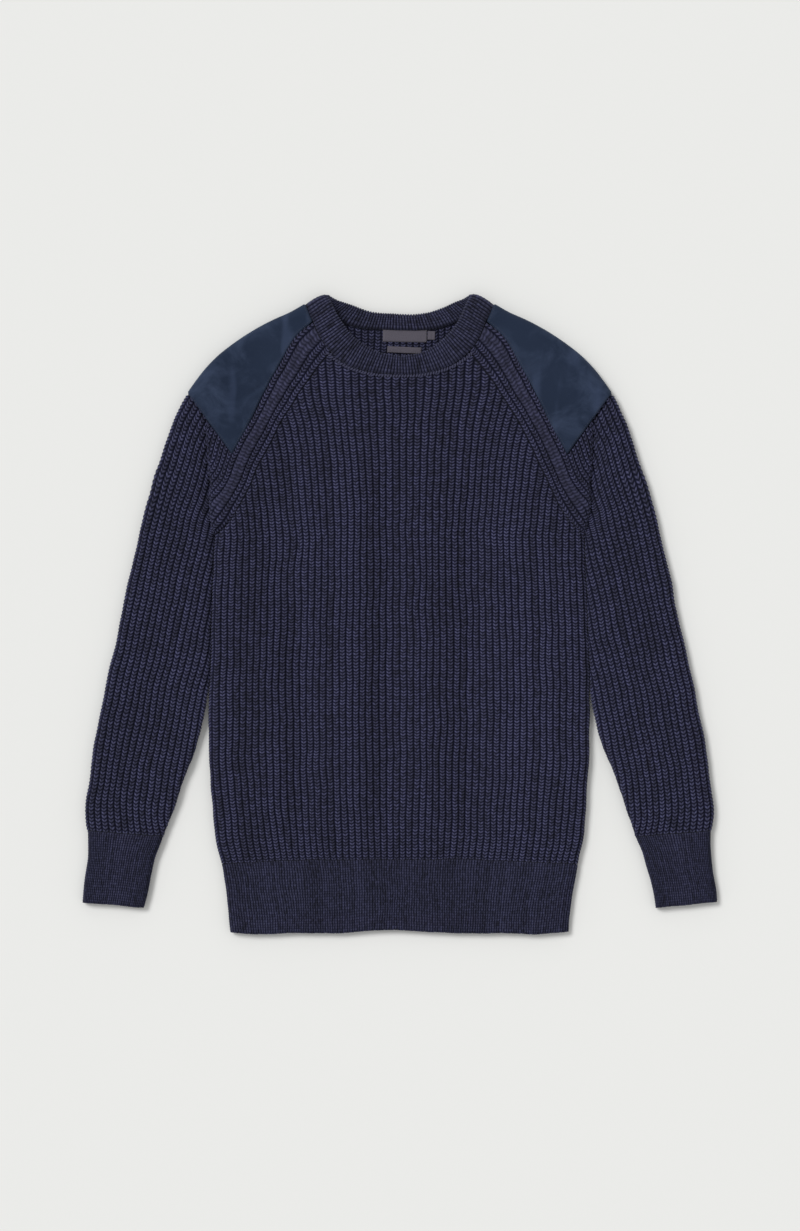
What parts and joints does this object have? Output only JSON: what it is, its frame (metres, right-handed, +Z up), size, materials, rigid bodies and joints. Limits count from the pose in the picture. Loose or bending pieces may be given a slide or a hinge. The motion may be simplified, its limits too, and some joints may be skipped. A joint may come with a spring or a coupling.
{
  "type": "sweater",
  "caption": "Crew-neck pullover in a heavy rib knit with raglan sleeves, fine-ribbed hem, cuffs and neckband and suede shoulder patches, laid flat on its back.",
  "frame": {"origin": "centre of the bounding box on its underside, on the surface that the sweater lies on", "axes": "+Z up out of the front of the sweater, +Y from the hem to the neck, +X to the wearer's left"},
  "size_m": [0.6988, 0.7004, 0.0198],
  "materials": {
    "navy_wool": "matt wool rib knit",
    "navy_welt_wool": "matt fine wool rib",
    "blue_suede": "brushed suede with a mottled nap",
    "grey_woven_label": "plain woven tape"
  },
  "bodies": {
    "root": {"front_panel": "navy_wool", "back_panel": "navy_wool", "left_sleeve": "navy_wool", "right_sleeve": "navy_wool", "hem_front": "navy_welt_wool", "hem_back": "navy_welt_wool", "left_cuff": "navy_welt_wool", "right_cuff": "navy_welt_wool", "neckband": "navy_welt_wool", "left_shoulder_patch": "blue_suede", "right_shoulder_patch": "blue_suede", "neck_label": "grey_woven_label", "size_tab": "grey_woven_label", "care_label": "grey_woven_label"}
  },
  "joints": []
}
